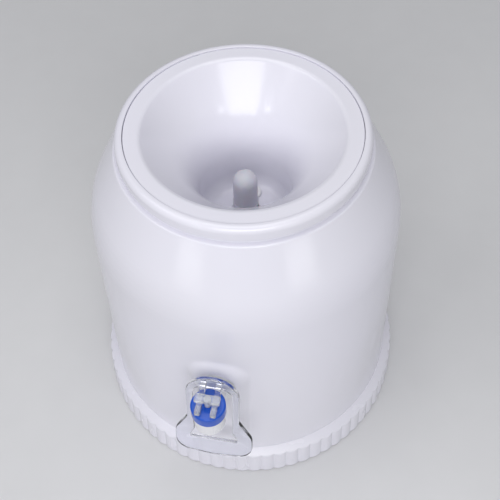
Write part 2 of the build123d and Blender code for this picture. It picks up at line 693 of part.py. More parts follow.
def paddle_arm():
    """Arm that runs from the plate over the cap to its foot on the cap's front edge."""
    arm_face = make_face(
        FilletPolyline(
            (hinge_y - ARM_FOOT_R, arm_bottom),
            (hinge_y + 2 * ARM_FOOT_R, arm_bottom),
            (hinge_y + 2 * ARM_FOOT_R + 1, arm_bottom + 0.5),
            (plate_y + 1.2, arm_bottom + 0.5),
            (plate_y + 1.2, paddle_top - 2.4),
            (plate_y - 3.0, paddle_top - 2.4),
            (-valve_reach + TEE_DEPTH / 2 + 2.2, arm_top),
            (hinge_y - ARM_FOOT_R, arm_top),
            radius=[ARM_FOOT_R - 0.01, 0.3, 0.3, 0, 0, 1, 0.5, 1.5],
            close=True,
        )
    )
    side = Plane(origin=(ARM_INSIDE, 0, 0), x_dir=(0, 1, 0), z_dir=(1, 0, 0))
    return extrude(side * arm_face, ARM_OUTSIDE - ARM_INSIDE)


def paddle():
    """Clear push paddle: bell-shaped plate with a window, and two arms that reach over the cap."""
    near = plate_y + PADDLE_LENGTH / 4
    far = near - PADDLE_LENGTH
    top = paddle_top
    outline_radii = [PADDLE_HALF - 0.5, SHOULDER_TURN, FLARE_TURN, FOOT_CORNER, FOOT_TURN]
    window_radii = [WINDOW_TOP_TURN, WINDOW_FLARE_TURN, WINDOW_CORNER]
    outline = [
        (PADDLE_HALF, top),
        (PADDLE_HALF, top - SHOULDER_DROP),
        (FLARE_HALF, top - FLARE_DROP),
        (FLARE_HALF, top - PADDLE_LENGTH + 3.0),
        (0, top - PADDLE_LENGTH),
    ]
    window = [
        (WINDOW_HALF, top - WINDOW_TOP_DROP),
        (WINDOW_HALF, top - WINDOW_FLARE_DROP),
        (WINDOW_FOOT_HALF, top - CREASE_DROP),
    ]
    blank = bell(outline, outline_radii, near, far)
    opening = bell(window, window_radii, near, far)
    plate = (paddle_strip() & blank) - opening
    arm = paddle_arm()
    return plate + arm + mirror(arm, about=Plane.YZ)


PIECES = {
    "body_shell": body_shell,
    "base_ring": base_ring,
    "base_plate": base_plate,
    "rubber_feet": rubber_feet,
    "base_screws": base_screws,
    "inner_tank": inner_tank,
    "tank_gasket": tank_gasket,
    "seat_gasket": seat_gasket,
    "bottle_seat": bottle_seat,
    "probe": probe,
    "probe_gasket": probe_gasket,
    "probe_nut": probe_nut,
    "vent_housing": vent_housing,
    "vent_filter": vent_filter,
    "tap_body": tap_body,
    "tap_washer": tap_washer,
    "tank_washer": tank_washer,
    "tap_nut": tap_nut,
    "bonnet_cap": bonnet_cap,
    "valve_stem": valve_stem,
    "seat_cup": seat_cup,
    "stem_tee": stem_tee,
    "stem_seal": stem_seal,
    "valve_spring": valve_spring,
    "paddle": paddle,
}

os.makedirs("parts", exist_ok=True)
for name, build in PIECES.items():
    export_step(build(), "parts/" + name + ".step")
print("hinge axis of the paddle: y %.2f z %.2f" % (hinge_y, hinge_z))
print("stem lift for the full swing: %.2f" % (LIFT_PER_RADIAN * math.radians(PADDLE_SWING)))
print("lift of the seat: %.0f" % SEAT_LIFT)
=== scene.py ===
# %% [markdown]
# A tabletop water dispenser, dressed for a picture. The imported CAD model is loaded first and stays as
# it is: it is the frame that every visible piece hangs on. Most pieces that the camera sees closely are
# made again with finer curves and softer edges, and each one hides the CAD node that it stands for. The
# probe, the tap's body and the hidden pieces keep their CAD mesh and only get a finish, apart from the
# valve's spring, which is made again as a coil that rides on the stem.

# %% The frame
import bmesh
import bpy
import math
from mathutils import Matrix, Vector


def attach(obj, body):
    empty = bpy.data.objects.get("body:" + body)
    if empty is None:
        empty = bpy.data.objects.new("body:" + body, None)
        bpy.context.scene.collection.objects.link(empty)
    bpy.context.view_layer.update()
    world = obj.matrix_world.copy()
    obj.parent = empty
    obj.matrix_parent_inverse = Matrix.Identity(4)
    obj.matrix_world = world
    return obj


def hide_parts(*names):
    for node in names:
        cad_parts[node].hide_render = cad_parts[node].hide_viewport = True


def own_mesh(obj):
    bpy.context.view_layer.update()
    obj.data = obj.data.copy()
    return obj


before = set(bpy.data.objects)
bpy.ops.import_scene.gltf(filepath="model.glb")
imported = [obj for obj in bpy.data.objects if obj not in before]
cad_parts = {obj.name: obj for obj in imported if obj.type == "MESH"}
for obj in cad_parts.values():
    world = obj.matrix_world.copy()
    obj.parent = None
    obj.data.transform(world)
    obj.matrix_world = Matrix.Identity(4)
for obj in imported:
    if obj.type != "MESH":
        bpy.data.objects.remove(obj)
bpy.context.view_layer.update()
MM = 0.001
print("nodes", len(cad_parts))

# %% [markdown]
# Sizes in millimetres. They are those of the part's source, apart from the pad's swell, edge and blend,
# which only this finer skin has. The origin is on the body's axis at table height, +Z is up and the tap
# points along -Y.

# %% Sizes
TOTAL_HEIGHT = 282.0
FOOT_R = 120.0
FOOT_Z = 30.0
WALL_DRAFT = 0.03
SHELL_WALL = 2.6
SHOULDER_ROUND = 90.0
SHOULDER_SLOPE = 0.5
SHOULDER_R = 90.0
SHOULDER_Z = 268.4
NECK_R = 86.0
COLLAR_R = 87.7
COLLAR_FOOT_Z = 271.2
COLLAR_ROUND = 4.4
MOUTH_R = 82.0
LEDGE_Z = 276.0
LEDGE_R = 79.5
LEDGE_THICKNESS = 3.0
SKIRT_R = 118.0
SKIRT_Z = 7.6
PAD_HALF_WIDTH = 16.0
PAD_FACE = 121.4
PAD_TOP = 157.0
PAD_CORNER = 14.5
PAD_SWELL = 14.0
PAD_EDGE = 3.0
PAD_BLEND = 3.0
VALVE_Y = -146.0
wall_at_foot = FOOT_R + WALL_DRAFT * FOOT_Z
shoulder_line = SHOULDER_R + SHOULDER_SLOPE * SHOULDER_Z
corner_z = (shoulder_line - wall_at_foot) / (SHOULDER_SLOPE - WALL_DRAFT)
corner_r = wall_at_foot - WALL_DRAFT * corner_z
print("wall meets shoulder at radius %.1f, height %.1f" % (corner_r, corner_z))

# %% [markdown]
# Most of the dispenser is turned: one outline, spun about the axis. An outline is written with sharp
# corners and a radius for each, as a draughtsman would, and this helper replaces each corner with an
# arc. Drawing arcs by hand as lists of points would hide the sizes that matter.

# %% Rounded outlines
def rounded(corners, radii, step=7.0):
    """Outline of (across, up) points with an arc at each corner, one point for each step in degrees."""
    points = []
    count = len(corners)
    for index, radius in enumerate(radii):
        here = Vector(corners[index])
        if radius == 0:
            points.append(tuple(here))
            continue
        back = (Vector(corners[index - 1]) - here).normalized()
        ahead = (Vector(corners[(index + 1) % count]) - here).normalized()
        half = back.angle(ahead) / 2
        centre = here + (back + ahead).normalized() * radius / math.sin(half)
        first = here + back * radius / math.tan(half) - centre
        turn = math.pi - 2 * half
        sign = -1.0 if back.cross(ahead) > 0 else 1.0
        pieces = max(2, math.ceil(math.degrees(turn) / step))
        for piece in range(pieces + 1):
            angle = sign * turn * piece / pieces
            c, s = math.cos(angle), math.sin(angle)
            points.append((centre.x + first.x * c - first.y * s, centre.y + first.x * s + first.y * c))
    return points


square = [(0, 0), (9, 0), (9, 9), (0, 9)]
print("a square with rounded corners has", len(rounded(square, [1, 1, 1, 1])), "points")

# %% [markdown]
# From outline to mesh. Every point of the outline becomes a ring of vertices, and a point on the axis
# becomes a single one, so poles are closed. The angles can be given, because the casing needs narrow
# columns around its tap pad and wide ones elsewhere. Normals are worked out once on the closed skin, so
# that they point outwards.

# %% Turning an outline
WELD, ON_AXIS = 1e-6, 1e-6


def make_object(name, mesh, keep_sharp=35.0):
    """Links a mesh as an object at the origin, smooth apart from edges sharper than keep_sharp degrees."""
    work = bmesh.new()
    work.from_mesh(mesh)
    bmesh.ops.remove_doubles(work, verts=work.verts, dist=WELD)
    bmesh.ops.recalc_face_normals(work, faces=work.faces)
    work.to_mesh(mesh)
    work.free()
    mesh.polygons.foreach_set("use_smooth", [True] * len(mesh.polygons))
    mesh.set_sharp_from_angle(angle=math.radians(keep_sharp))
    piece = bpy.data.objects.new(name, mesh)
    bpy.context.scene.collection.objects.link(piece)
    print(name, "faces", len(mesh.polygons))
    return piece


def even_angles(count):
    return [2 * math.pi * step / count for step in range(count)]


def turned(name, outline, angles, centre=(0.0, 0.0), shape=None):
    """Closed (radius, height) outline spun about an upright axis. shape may move each point."""
    verts, rings, faces = [], [], []
    for radius, height in outline:
        if radius < ON_AXIS:
            rings.append([len(verts)])
            verts.append((centre[0] * MM, centre[1] * MM, height * MM))
            continue
        ring = []
        for angle in angles:
            x, y, z = radius * math.sin(angle), -radius * math.cos(angle), height
            if shape:
                x, y, z = shape(x, y, z)
            ring.append(len(verts))
            verts.append(((centre[0] + x) * MM, (centre[1] + y) * MM, z * MM))
        rings.append(ring)
    columns = len(angles)
    for index in range(len(rings)):
        low, high = rings[index - 1], rings[index]
        if len(low) == 1 and len(high) == 1:
            continue
        for side in range(columns):
            after = (side + 1) % columns
            if len(low) == 1:
                faces.append((low[0], high[side], high[after]))
            elif len(high) == 1:
                faces.append((low[side], high[0], low[after]))
            else:
                faces.append((low[side], high[side], high[after], low[after]))
    mesh = bpy.data.meshes.new(name)
    mesh.from_pydata(verts, [], faces)
    return make_object(name, mesh)


# %% [markdown]
# Finishes are node trees, and their sums are easier to read as sums. A Wire wraps one socket, so that
# 0.2 + 0.05 * grain adds two Math nodes. A Finish holds one material; its method make places any other
# node: first its settings, then the values or wires of its sockets. Colours are blended with Mix nodes,
# because a Math node would turn them grey. Several sockets of a Mix node share a name, so those for
# colours are found by their numbers.

# %% Writing finishes
MIX_FACTOR, MIX_FIRST, MIX_SECOND, MIX_RESULT = 0, 6, 7, 2


class Wire:
    """A socket's output that can be used in sums."""

    def __init__(self, finish, socket):
        self.finish = finish
        self.socket = socket

    def sum(self, operation, first, second):
        return self.finish.make("ShaderNodeMath", {"operation": operation}, {0: first, 1: second})

    def __add__(self, other):
        return self.sum("ADD", self, other)

    def __radd__(self, other):
        return self.sum("ADD", other, self)

    def __sub__(self, other):
        return self.sum("SUBTRACT", self, other)

    def __rsub__(self, other):
        return self.sum("SUBTRACT", other, self)

    def __mul__(self, other):
        return self.sum("MULTIPLY", self, other)

    def __rmul__(self, other):
        return self.sum("MULTIPLY", other, self)


class Finish:
    """One material, built on a Principled shader."""

    def __init__(self, name, **constants):
        self.material = bpy.data.materials.new(name)
        self.material.use_nodes = True
        self.tree = self.material.node_tree
        self.shader = self.tree.nodes["Principled BSDF"]
        for label, value in constants.items():
            self.shader.inputs[label.replace("_", " ")].default_value = value

    def make(self, kind, settings=None, sockets=None, output=0):
        node = self.tree.nodes.new(kind)
        for key, value in (settings or {}).items():
            if key == "stops":
                ramp = node.color_ramp.elements
                while len(ramp) < len(value):
                    ramp.new(0.5)
                for element, (place, shade) in zip(ramp, value):
                    element.position = place
                    element.color = shade
            else:
                setattr(node, key, value)
        for key, value in (sockets or {}).items():
            if isinstance(value, Wire):
                self.tree.links.new(value.socket, node.inputs[key])
            else:
                node.inputs[key].default_value = value
        return Wire(self, node.outputs[output])

    def feed(self, label, wire):
        self.tree.links.new(wire.socket, self.shader.inputs[label])

    def noise(self, features_per_metre, detail=2.0, stretch=(1, 1, 1)):
        """Soft random pattern fixed to the piece, about 0 to 1."""
        place = self.make("ShaderNodeTexCoord", output="Object")
        sized = self.make("ShaderNodeMapping", None, {"Vector": place, "Scale": stretch})
        sockets = {"Vector": sized, "Scale": features_per_metre, "Detail": detail}
        return self.make("ShaderNodeTexNoise", None, sockets, "Fac")

    def ramp(self, value, low, high):
        """0 below low, 1 above high, smooth between."""
        settings = {"interpolation_type": "SMOOTHSTEP"}
        sockets = {"Value": value, "From Min": low, "From Max": high}
        return self.make("ShaderNodeMapRange", settings, sockets, "Result")

    def blend(self, share, first, second):
        """Mix of two colours."""
        sockets = {MIX_FACTOR: share, MIX_FIRST: first, MIX_SECOND: second}
        return self.make("ShaderNodeMix", {"data_type": "RGBA"}, sockets, MIX_RESULT)

    def bump(self, height, depth_mm):
        """Fine relief: height is 0 to 1, depth_mm is what 1 stands for."""
        sockets = {"Height": height, "Distance": depth_mm * MM, "Strength": 1.0}
        self.feed("Normal", self.make("ShaderNodeBump", None, sockets, "Normal"))


# %% [markdown]
# White injection-moulded plastic. It looks plain, but up close a moulded skin is never a mirror: it has
# a slow waviness where the plastic shrank, a very fine peel, and tiny differences in gloss. These are
# what make long highlights wobble a little. Here and there it also picks up faint handling marks.

# %% White plastic
def white_plastic(name, colour, rough, peel_mm=0.012):
    finish = Finish(name, IOR=1.5)
    slow = finish.noise(9.0, 1.0)
    fine = finish.noise(420.0, 2.0)
    warm = (colour[0] * 0.985, colour[1] * 0.985, colour[2] * 0.975, 1.0)
    finish.feed("Base Color", finish.blend(finish.ramp(slow, 0.35, 0.65), (*colour, 1.0), warm))
    marks = finish.ramp(finish.noise(60.0, 4.0, (1, 1, 0.25)), 0.58, 0.75)
    finish.feed("Roughness", rough + 0.05 * slow + 0.06 * marks)
    finish.bump(0.75 * slow + 0.25 * fine, peel_mm)
    return finish.material


WHITE = (0.80, 0.79, 0.87)
casing_white = white_plastic("casing_white", WHITE, 0.17)
ring_white = white_plastic("ring_white", WHITE, 0.24)
seat_white = white_plastic("seat_white", WHITE, 0.15)
tap_white = white_plastic("tap_white", (0.82, 0.82, 0.86), 0.20, 0.006)
hidden_white = white_plastic("hidden_white", (0.76, 0.76, 0.77), 0.42, 0.02)
whites = [casing_white, ring_white, seat_white, tap_white, hidden_white]
print("white finishes", [material.name for material in whites])

# %% [markdown]
# The small pieces: a blue moulded cap, the clear paddle, the milky probe, greyed with painted shade of
# the deep throat, pale rubber, grey rubber feet, steel screws and spring, filter foam and the milky
# tank. Clear acrylic is a glass-like shader with acrylic's bend of light, and a breath of fine scratches
# in its roughness. Brushed steel gets streaks along one direction.

# %% Small finishes
def moulded(name, colour, rough, depth_mm=0.006, **constants):
    finish = Finish(name, **constants)
    cloud = finish.noise(55.0, 3.0)
    darker = tuple(0.9 * part for part in colour)
    finish.feed("Base Color", finish.blend(finish.ramp(cloud, 0.3, 0.7), (*colour, 1.0), (*darker, 1.0)))
    finish.feed("Roughness", rough + 0.08 * cloud)
    finish.bump(finish.noise(900.0, 2.0), depth_mm)
    return finish.material


def clear_plastic(name, tint, rough):
    finish = Finish(name, Base_Color=(*tint, 1.0), IOR=1.49, Transmission_Weight=1.0)
    scratches = finish.ramp(finish.noise(250.0, 3.0, (1, 6, 6)), 0.6, 0.8)
    finish.feed("Roughness", rough + 0.05 * scratches)
    return finish.material


def steel(name):
    finish = Finish(name, Metallic=1.0)
    streaks = finish.noise(300.0, 4.0, (1, 1, 14))
    finish.feed("Base Color", finish.blend(streaks, (0.50, 0.50, 0.52, 1.0), (0.68, 0.68, 0.70, 1.0)))
    finish.feed("Roughness", 0.22 + 0.2 * streaks)
    return finish.material


cap_blue = moulded("cap_blue", (0.007, 0.090, 0.57), 0.16, IOR=1.5)
paddle_clear = clear_plastic("paddle_clear", (0.93, 0.94, 0.985), 0.02)
stem_pale = moulded("stem_pale", (0.62, 0.64, 0.72), 0.18, IOR=1.5)
# The probe's grey colour, darker than the other whites, is partly painted shade: it stands for the shade
# deep in the seat's throat, on top of the probe's own milky plastic.
probe_milky_painted_shade = moulded(
    "probe_milky_painted_shade", (0.60, 0.60, 0.66), 0.45, Subsurface_Weight=0.3, Subsurface_Scale=0.004
)
silicone = moulded("silicone", (0.66, 0.66, 0.66), 0.55, 0.01)
foot_rubber = moulded("foot_rubber", (0.10, 0.10, 0.105), 0.7, 0.03)
tank_milky = moulded("tank_milky", (0.70, 0.72, 0.74), 0.4, 0.01)
filter_foam = moulded("filter_foam", (0.70, 0.70, 0.66), 0.9, 0.2)
screw_steel = steel("screw_steel")
prong_milky = moulded("prong_milky", (0.95, 0.97, 1.0), 0.08, IOR=1.45, Transmission_Weight=0.75)
node_finishes = {
    "base_plate": hidden_white,
    "rubber_feet": foot_rubber,
    "base_screws": screw_steel,
    "inner_tank": tank_milky,
    "tank_gasket": silicone,
    "seat_gasket": silicone,
    "probe": probe_milky_painted_shade,
    "probe_gasket": silicone,
    "probe_nut": hidden_white,
    "vent_housing": hidden_white,
    "vent_filter": filter_foam,
    "tap_body": tap_white,
    "tap_washer": silicone,
    "tank_washer": silicone,
    "tap_nut": hidden_white,
    "valve_stem": stem_pale,
    "seat_cup": silicone,
    "stem_seal": silicone,
    "valve_spring": screw_steel,
}
for node, finish in node_finishes.items():
    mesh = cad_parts[node].data
    mesh.materials.clear()
    mesh.materials.append(finish)
print("CAD nodes with a finish", len(node_finishes))

# %% [markdown]
# The casing is one moulding: a skirt inside the ring, a wall with a little draft, a long rounded
# shoulder, a groove, and a collar bead. Its one departure from a turned shape is the flat pad behind
# the tap. The pad is made by pushing each point of the turned skin forward to a plane that bends back
# round its edges, with a soft maximum of the two surfaces, so that it swells out of the wall with no
# hard edge, as in the photograph.

# %% The tap pad as a push on the skin
def soft_maximum(a, b, reach):
    """Larger of two lengths, blended where they are within reach of each other."""
    mix = max(0.0, 1.0 - abs(a - b) / reach)
    return max(a, b) + reach * mix * mix * mix / 6.0


PAD_BACK_Y, PAD_ROOM_ABOVE = -60.0, 40.0


def pad_push(inset):
    """Function that moves a point of the turned skin out to the pad's surface, drawn in by inset."""

    def push(x, y, z):
        if y > PAD_BACK_Y or z > PAD_TOP + PAD_ROOM_ABOVE:
            return x, y, z
        half = PAD_HALF_WIDTH - PAD_CORNER
        high = PAD_TOP - PAD_CORNER
        aside, above = max(0.0, abs(x) - half), max(0.0, z - high)
        outside = max(0.0, math.hypot(aside, above) - (PAD_CORNER - inset - PAD_EDGE))
        face = PAD_FACE - inset - outside * outside / PAD_SWELL
        return x, -soft_maximum(-y, face, PAD_BLEND), z

    return push


NEAR_HALF, NEAR_STEP, FAR_STEP = 20.0, 0.4, 2.5


def casing_angles():
    """Columns 0.4 degrees apart near the tap and 2.5 degrees apart elsewhere."""
    near_count = round(2 * NEAR_HALF / NEAR_STEP)
    far_count = round((360.0 - 2 * NEAR_HALF) / FAR_STEP)
    near = [math.radians(-NEAR_HALF + NEAR_STEP * step) for step in range(near_count)]
    far = [math.radians(NEAR_HALF + FAR_STEP * step) for step in range(far_count)]
    return near + far


# %% [markdown]
# Outline of the casing, once round: up the outside, over the collar, and down the inside. Straight runs
# are cut into short ones first, because the pad needs vertices to push.

# %% Casing
def divided(outline, longest):
    """The same closed outline with no run longer than longest."""
    points = []
    for index, here in enumerate(outline):
        before = outline[index - 1]
        pieces = max(1, math.ceil(math.dist(before, here) / longest))
        for piece in range(1, pieces + 1):
            share = piece / pieces
            across = before[0] + (here[0] - before[0]) * share
            up = before[1] + (here[1] - before[1]) * share
            points.append((across, up))
    return points


def casing_outline(inset):
    """Skirt, wall, shoulder and neck from the bottom up, drawn in by inset."""
    step = FOOT_Z + 2 * inset
    end = SHOULDER_Z - 2 * inset
    return [
        (SKIRT_R - inset, SKIRT_Z),
        (SKIRT_R - inset, step),
        (wall_at_foot - WALL_DRAFT * step - inset, step),
        (corner_r - inset, corner_z),
        (shoulder_line - SHOULDER_SLOPE * end - inset, end),
        (NECK_R - inset, end),
    ]


under_ledge = LEDGE_Z - LEDGE_THICKNESS
collar = [
    (NECK_R, COLLAR_FOOT_Z),
    (COLLAR_R, COLLAR_FOOT_Z),
    (COLLAR_R, TOTAL_HEIGHT),
    (MOUTH_R, TOTAL_HEIGHT),
]
ledge = [
    (MOUTH_R, LEDGE_Z),
    (LEDGE_R, LEDGE_Z),
    (LEDGE_R, under_ledge),
    (NECK_R - SHELL_WALL, under_ledge),
]
inside = list(reversed(casing_outline(SHELL_WALL)))
outline_radii = [0.5, 0, 0, SHOULDER_ROUND, 1.6, 1.0]
collar_radii = [0.6, 0.8, COLLAR_ROUND, 0.4]
ledge_radii = [0, 0.4, 0, 0]
inside_radii = [0, 0, SHOULDER_ROUND, 0, 0, 0]
radii = outline_radii + collar_radii + ledge_radii + inside_radii
casing_section = casing_outline(0) + collar + ledge + inside
skin = divided(rounded(casing_section, radii, step=4.0), longest=2.5)
SKIN_TOLERANCE, PUSH_TOP_Z = 0.01, 200.0
outer_push, inner_push = pad_push(0.0), pad_push(SHELL_WALL)


def casing_push(x, y, z):
    """The outer skin takes the pad's surface, and the inner skin the same drawn in by the wall."""
    radius = math.hypot(x, y)
    middle = wall_at_foot - WALL_DRAFT * z - SHELL_WALL / 2
    if z < FOOT_Z - SKIN_TOLERANCE or z > PUSH_TOP_Z:
        return x, y, z
    return outer_push(x, y, z) if radius > middle else inner_push(x, y, z)


casing = turned("casing", skin, casing_angles(), shape=casing_push)
casing.data.materials.append(casing_white)
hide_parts("body_shell")
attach(casing, "dispenser_body")

# %% [markdown]
# The fluted ring at the foot follows a rule, so Geometry Nodes make it. A small closed section is swept
# round a circle, and then every point that lies outside the scalloped outline is drawn in to it. One
# flute's outline is a shallow parabola between two valleys, and its crest tapers a little with height.
# Changing the number of flutes or their depth is one named input.

# %% Ring section
RING_R, RING_TOP_R, RING_CLEAR, FLUTE_TOP_Z = 128.9, 127.6, 1.0, 22.9
FLUTE_COUNT, FLUTE_DEPTH, RING_IN_R, FLANGE_IN_R = 74, 1.3, 118.4, 100.0
RING_SPARE, RING_LEDGE_RISE, RING_SEAM = 0.3, 2.5, 0.4
FOOT_PAD_HEIGHT, RING_FLOOR = 4.0, 3.0
ring_floor_top = FOOT_PAD_HEIGHT + RING_FLOOR
ring_corners = [
    (RING_IN_R, RING_CLEAR),
    (RING_R + RING_SPARE, RING_CLEAR),
    (RING_TOP_R + RING_SPARE, FLUTE_TOP_Z + RING_LEDGE_RISE),
    (FOOT_R + RING_SEAM, FOOT_Z),
    (RING_IN_R, FOOT_Z),
    (RING_IN_R, ring_floor_top),
    (FLANGE_IN_R, ring_floor_top),
    (FLANGE_IN_R, FOOT_PAD_HEIGHT),
    (RING_IN_R, FOOT_PAD_HEIGHT),
]
ring_radii = [0, 0.8, 4.5, 1.0, 0, 0, 0.3, 0.3, 0]
ring_section = divided(rounded(ring_corners, ring_radii, step=9.0), longest=2.2)
section_mesh = bpy.data.meshes.new("ring_section")
section_points = [(across * MM, 0.0, up * MM) for across, up in ring_section]
section_edges = [(index, (index + 1) % len(section_points)) for index in range(len(section_points))]
section_mesh.from_pydata(section_points, section_edges, [])
ring_source = bpy.data.objects.new("ring_source", section_mesh)
bpy.context.scene.collection.objects.link(ring_source)
print("points in the ring's section", len(section_points))


# %% [markdown]
# The node tree is written with the same idea as the finishes: one function places a node with its
# settings and links, and values are joined as they are needed.

# %% Ring tree
class Tree:
    """A Geometry Nodes tree with named inputs."""

    def __init__(self, name):
        self.group = bpy.data.node_groups.new(name, "GeometryNodeTree")
        face = self.group.interface
        face.new_socket("Geometry", in_out="INPUT", socket_type="NodeSocketGeometry")
        face.new_socket("Geometry", in_out="OUTPUT", socket_type="NodeSocketGeometry")
        self.start = self.group.nodes.new("NodeGroupInput")
        self.end = self.group.nodes.new("NodeGroupOutput")
        self.names = {}

    def number(self, name, value, kind="NodeSocketFloat"):
        socket = self.group.interface.new_socket(name, in_out="INPUT", socket_type=kind)
        socket.default_value = value
        self.names[name] = socket.identifier
        return self.start.outputs[name]

    def place(self, kind, settings=None, sockets=None):
        node = self.group.nodes.new(kind)
        for key, value in (settings or {}).items():
            setattr(node, key, value)
        for key, value in (sockets or {}).items():
            if isinstance(value, bpy.types.NodeSocket):
                self.group.links.new(value, node.inputs[key])
            else:
                node.inputs[key].default_value = value
        return node.outputs[0]

    def maths(self, operation, first, second=0.0):
        return self.place("ShaderNodeMath", {"operation": operation}, {0: first, 1: second})


# %% [markdown]
# The rule itself. A grid of unit size is the sheet that gets wrapped: its first direction is the share
# of the way round, its second one counts the points of the section. Each grid point looks up its
# section point, so that one small outline gives radius and height, and the scalloped outline then
# limits the radius.

# %% Fluted ring
STEPS_IN_A_FLUTE, RING_WELD = 10, 0.00001
tree = Tree("fluted_ring")
flutes = tree.number("Flutes", FLUTE_COUNT, "NodeSocketInt")
steps = tree.number("Steps in a flute", STEPS_IN_A_FLUTE, "NodeSocketInt")
section_count = tree.number("Section points", len(section_points), "NodeSocketInt")
crest = tree.number("Crest radius at the foot", RING_R * MM)
taper = tree.number("Crest radius lost per metre", (RING_R - RING_TOP_R) / (FLUTE_TOP_Z - RING_CLEAR))
depth = tree.number("Flute depth", FLUTE_DEPTH * MM)
finish = tree.number("Finish", ring_white, "NodeSocketMaterial")
columns = tree.maths("ADD", tree.maths("MULTIPLY", flutes, steps), 1.0)
rows = tree.maths("ADD", section_count, 1.0)
grid_sizes = {"Size X": 1.0, "Size Y": 1.0, "Vertices X": columns, "Vertices Y": rows}
grid = tree.place("GeometryNodeMeshGrid", None, grid_sizes)
spot = tree.place("GeometryNodeInputPosition")
split = tree.place("ShaderNodeSeparateXYZ", None, {"Vector": spot}).node
share = tree.maths("ADD", split.outputs["X"], 0.5)
across = tree.maths("MULTIPLY", tree.maths("ADD", split.outputs["Y"], 0.5), section_count)
row = tree.maths("FLOORED_MODULO", tree.maths("ROUND", across), section_count)
lookup = {"Geometry": tree.start.outputs["Geometry"], "Value": spot, "Index": row}
sample = tree.place("GeometryNodeSampleIndex", {"data_type": "FLOAT_VECTOR"}, lookup)
section_split = tree.place("ShaderNodeSeparateXYZ", None, {"Vector": sample}).node
height = section_split.outputs["Z"]
phase = tree.maths("SUBTRACT", tree.maths("FRACT", tree.maths("MULTIPLY", share, flutes)), 0.5)
dip = tree.maths("MULTIPLY", tree.maths("MULTIPLY", tree.maths("MULTIPLY", phase, phase), 4.0), depth)
risen = tree.maths("SUBTRACT", height, RING_CLEAR * MM)
lost = tree.maths("MULTIPLY", risen, taper)
crest_here = tree.maths("SUBTRACT", crest, lost)
radius = tree.maths("MINIMUM", section_split.outputs["X"], tree.maths("SUBTRACT", crest_here, dip))
angle = tree.maths("MULTIPLY", share, 2 * math.pi)
x = tree.maths("MULTIPLY", radius, tree.maths("SINE", angle))
y = tree.maths("MULTIPLY", radius, tree.maths("MULTIPLY", tree.maths("COSINE", angle), -1.0))
wrapped = tree.place("ShaderNodeCombineXYZ", None, {"X": x, "Y": y, "Z": height})
moved = tree.place("GeometryNodeSetPosition", None, {"Geometry": grid, "Position": wrapped})
welded = tree.place("GeometryNodeMergeByDistance", None, {"Geometry": moved, "Distance": RING_WELD})
real = tree.place("GeometryNodeRealizeInstances", None, {"Geometry": welded})
done = tree.place("GeometryNodeSetMaterial", None, {"Geometry": real, "Material": finish})
tree.group.links.new(done, tree.end.inputs["Geometry"])


def grown(name, source, node_tree):
    """Plain mesh object from a source object with a node tree on it."""
    modifier = source.modifiers.new(name, "NODES")
    modifier.node_group = node_tree.group
    for identifier in node_tree.names.values():
        for item in node_tree.group.interface.items_tree:
            if getattr(item, "identifier", "") == identifier:
                modifier[identifier] = item.default_value
    ready = source.evaluated_get(bpy.context.evaluated_depsgraph_get())
    mesh = bpy.data.meshes.new_from_object(ready)
    source.modifiers.remove(modifier)
    bpy.data.objects.remove(source)
    return make_object(name, mesh)


ring = grown("fluted_ring", ring_source, tree)
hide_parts("base_ring")
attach(ring, "dispenser_body")
ring_box = [ring.bound_box[0], ring.bound_box[6]]
print("ring box", [tuple(round(v / MM, 1) for v in corner) for corner in ring_box])

# %% [markdown]
# The bottle seat lifts out. It is turned too: a flat flange that lies just inside the collar, a wide
# funnel at 48 degrees, a soft turn into the throat, and a floor. The thin dark line round its flange in
# the photograph is the gap to the collar, which comes by itself because the flange is a little smaller
# than the collar's mouth.

# %% Bottle seat
FLANGE_TOP, FLANGE_BOTTOM, SEAT_R = 281.0, 277.5, 81.7
MOUTH_IN_R, THROAT_R, SEAT_WALL = 70.8, 34.5, 2.6
SEAT_FLOOR, SEAT_FLOOR_TOP, SEAT_COLUMNS = 185.0, 188.0, 180
FUNNEL_ANGLE = math.radians(48)
FUNNEL_ROUND, FLANGE_ROUND, SEAT_FLOOR_ROUND = 60.0, 5.0, 11.0
funnel_rise = math.tan(FUNNEL_ANGLE)
throat_top = FLANGE_TOP - (MOUTH_IN_R - THROAT_R) * funnel_rise
under_shift = SEAT_WALL / math.sin(FUNNEL_ANGLE)
under_r = THROAT_R + SEAT_WALL
seat_corners = [
    (0.0, SEAT_FLOOR),
    (under_r, SEAT_FLOOR),
    (under_r, FLANGE_TOP - (MOUTH_IN_R - under_r + under_shift) * funnel_rise),
    (MOUTH_IN_R - (FLANGE_TOP - FLANGE_BOTTOM) / funnel_rise + under_shift, FLANGE_BOTTOM),
    (SEAT_R, FLANGE_BOTTOM),
    (SEAT_R, FLANGE_TOP),
    (MOUTH_IN_R, FLANGE_TOP),
    (THROAT_R, throat_top),
    (THROAT_R, SEAT_FLOOR_TOP),
    (0.0, SEAT_FLOOR_TOP),
]
under_radii = [0, 3, FUNNEL_ROUND - SEAT_WALL, 2, 0]
upper_radii = [0.6, FLANGE_ROUND, FUNNEL_ROUND, SEAT_FLOOR_ROUND, 0]
seat_outline = rounded(seat_corners, under_radii + upper_radii, step=1.5)
seat = turned("funnel_seat", seat_outline, even_angles(SEAT_COLUMNS))
seat.data.materials.append(seat_white)
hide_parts("bottle_seat")
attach(seat, "bottle_seat")

# %% [markdown]
# The blue cap is turned as well, hollow from below, with the stem's hole through its roof.

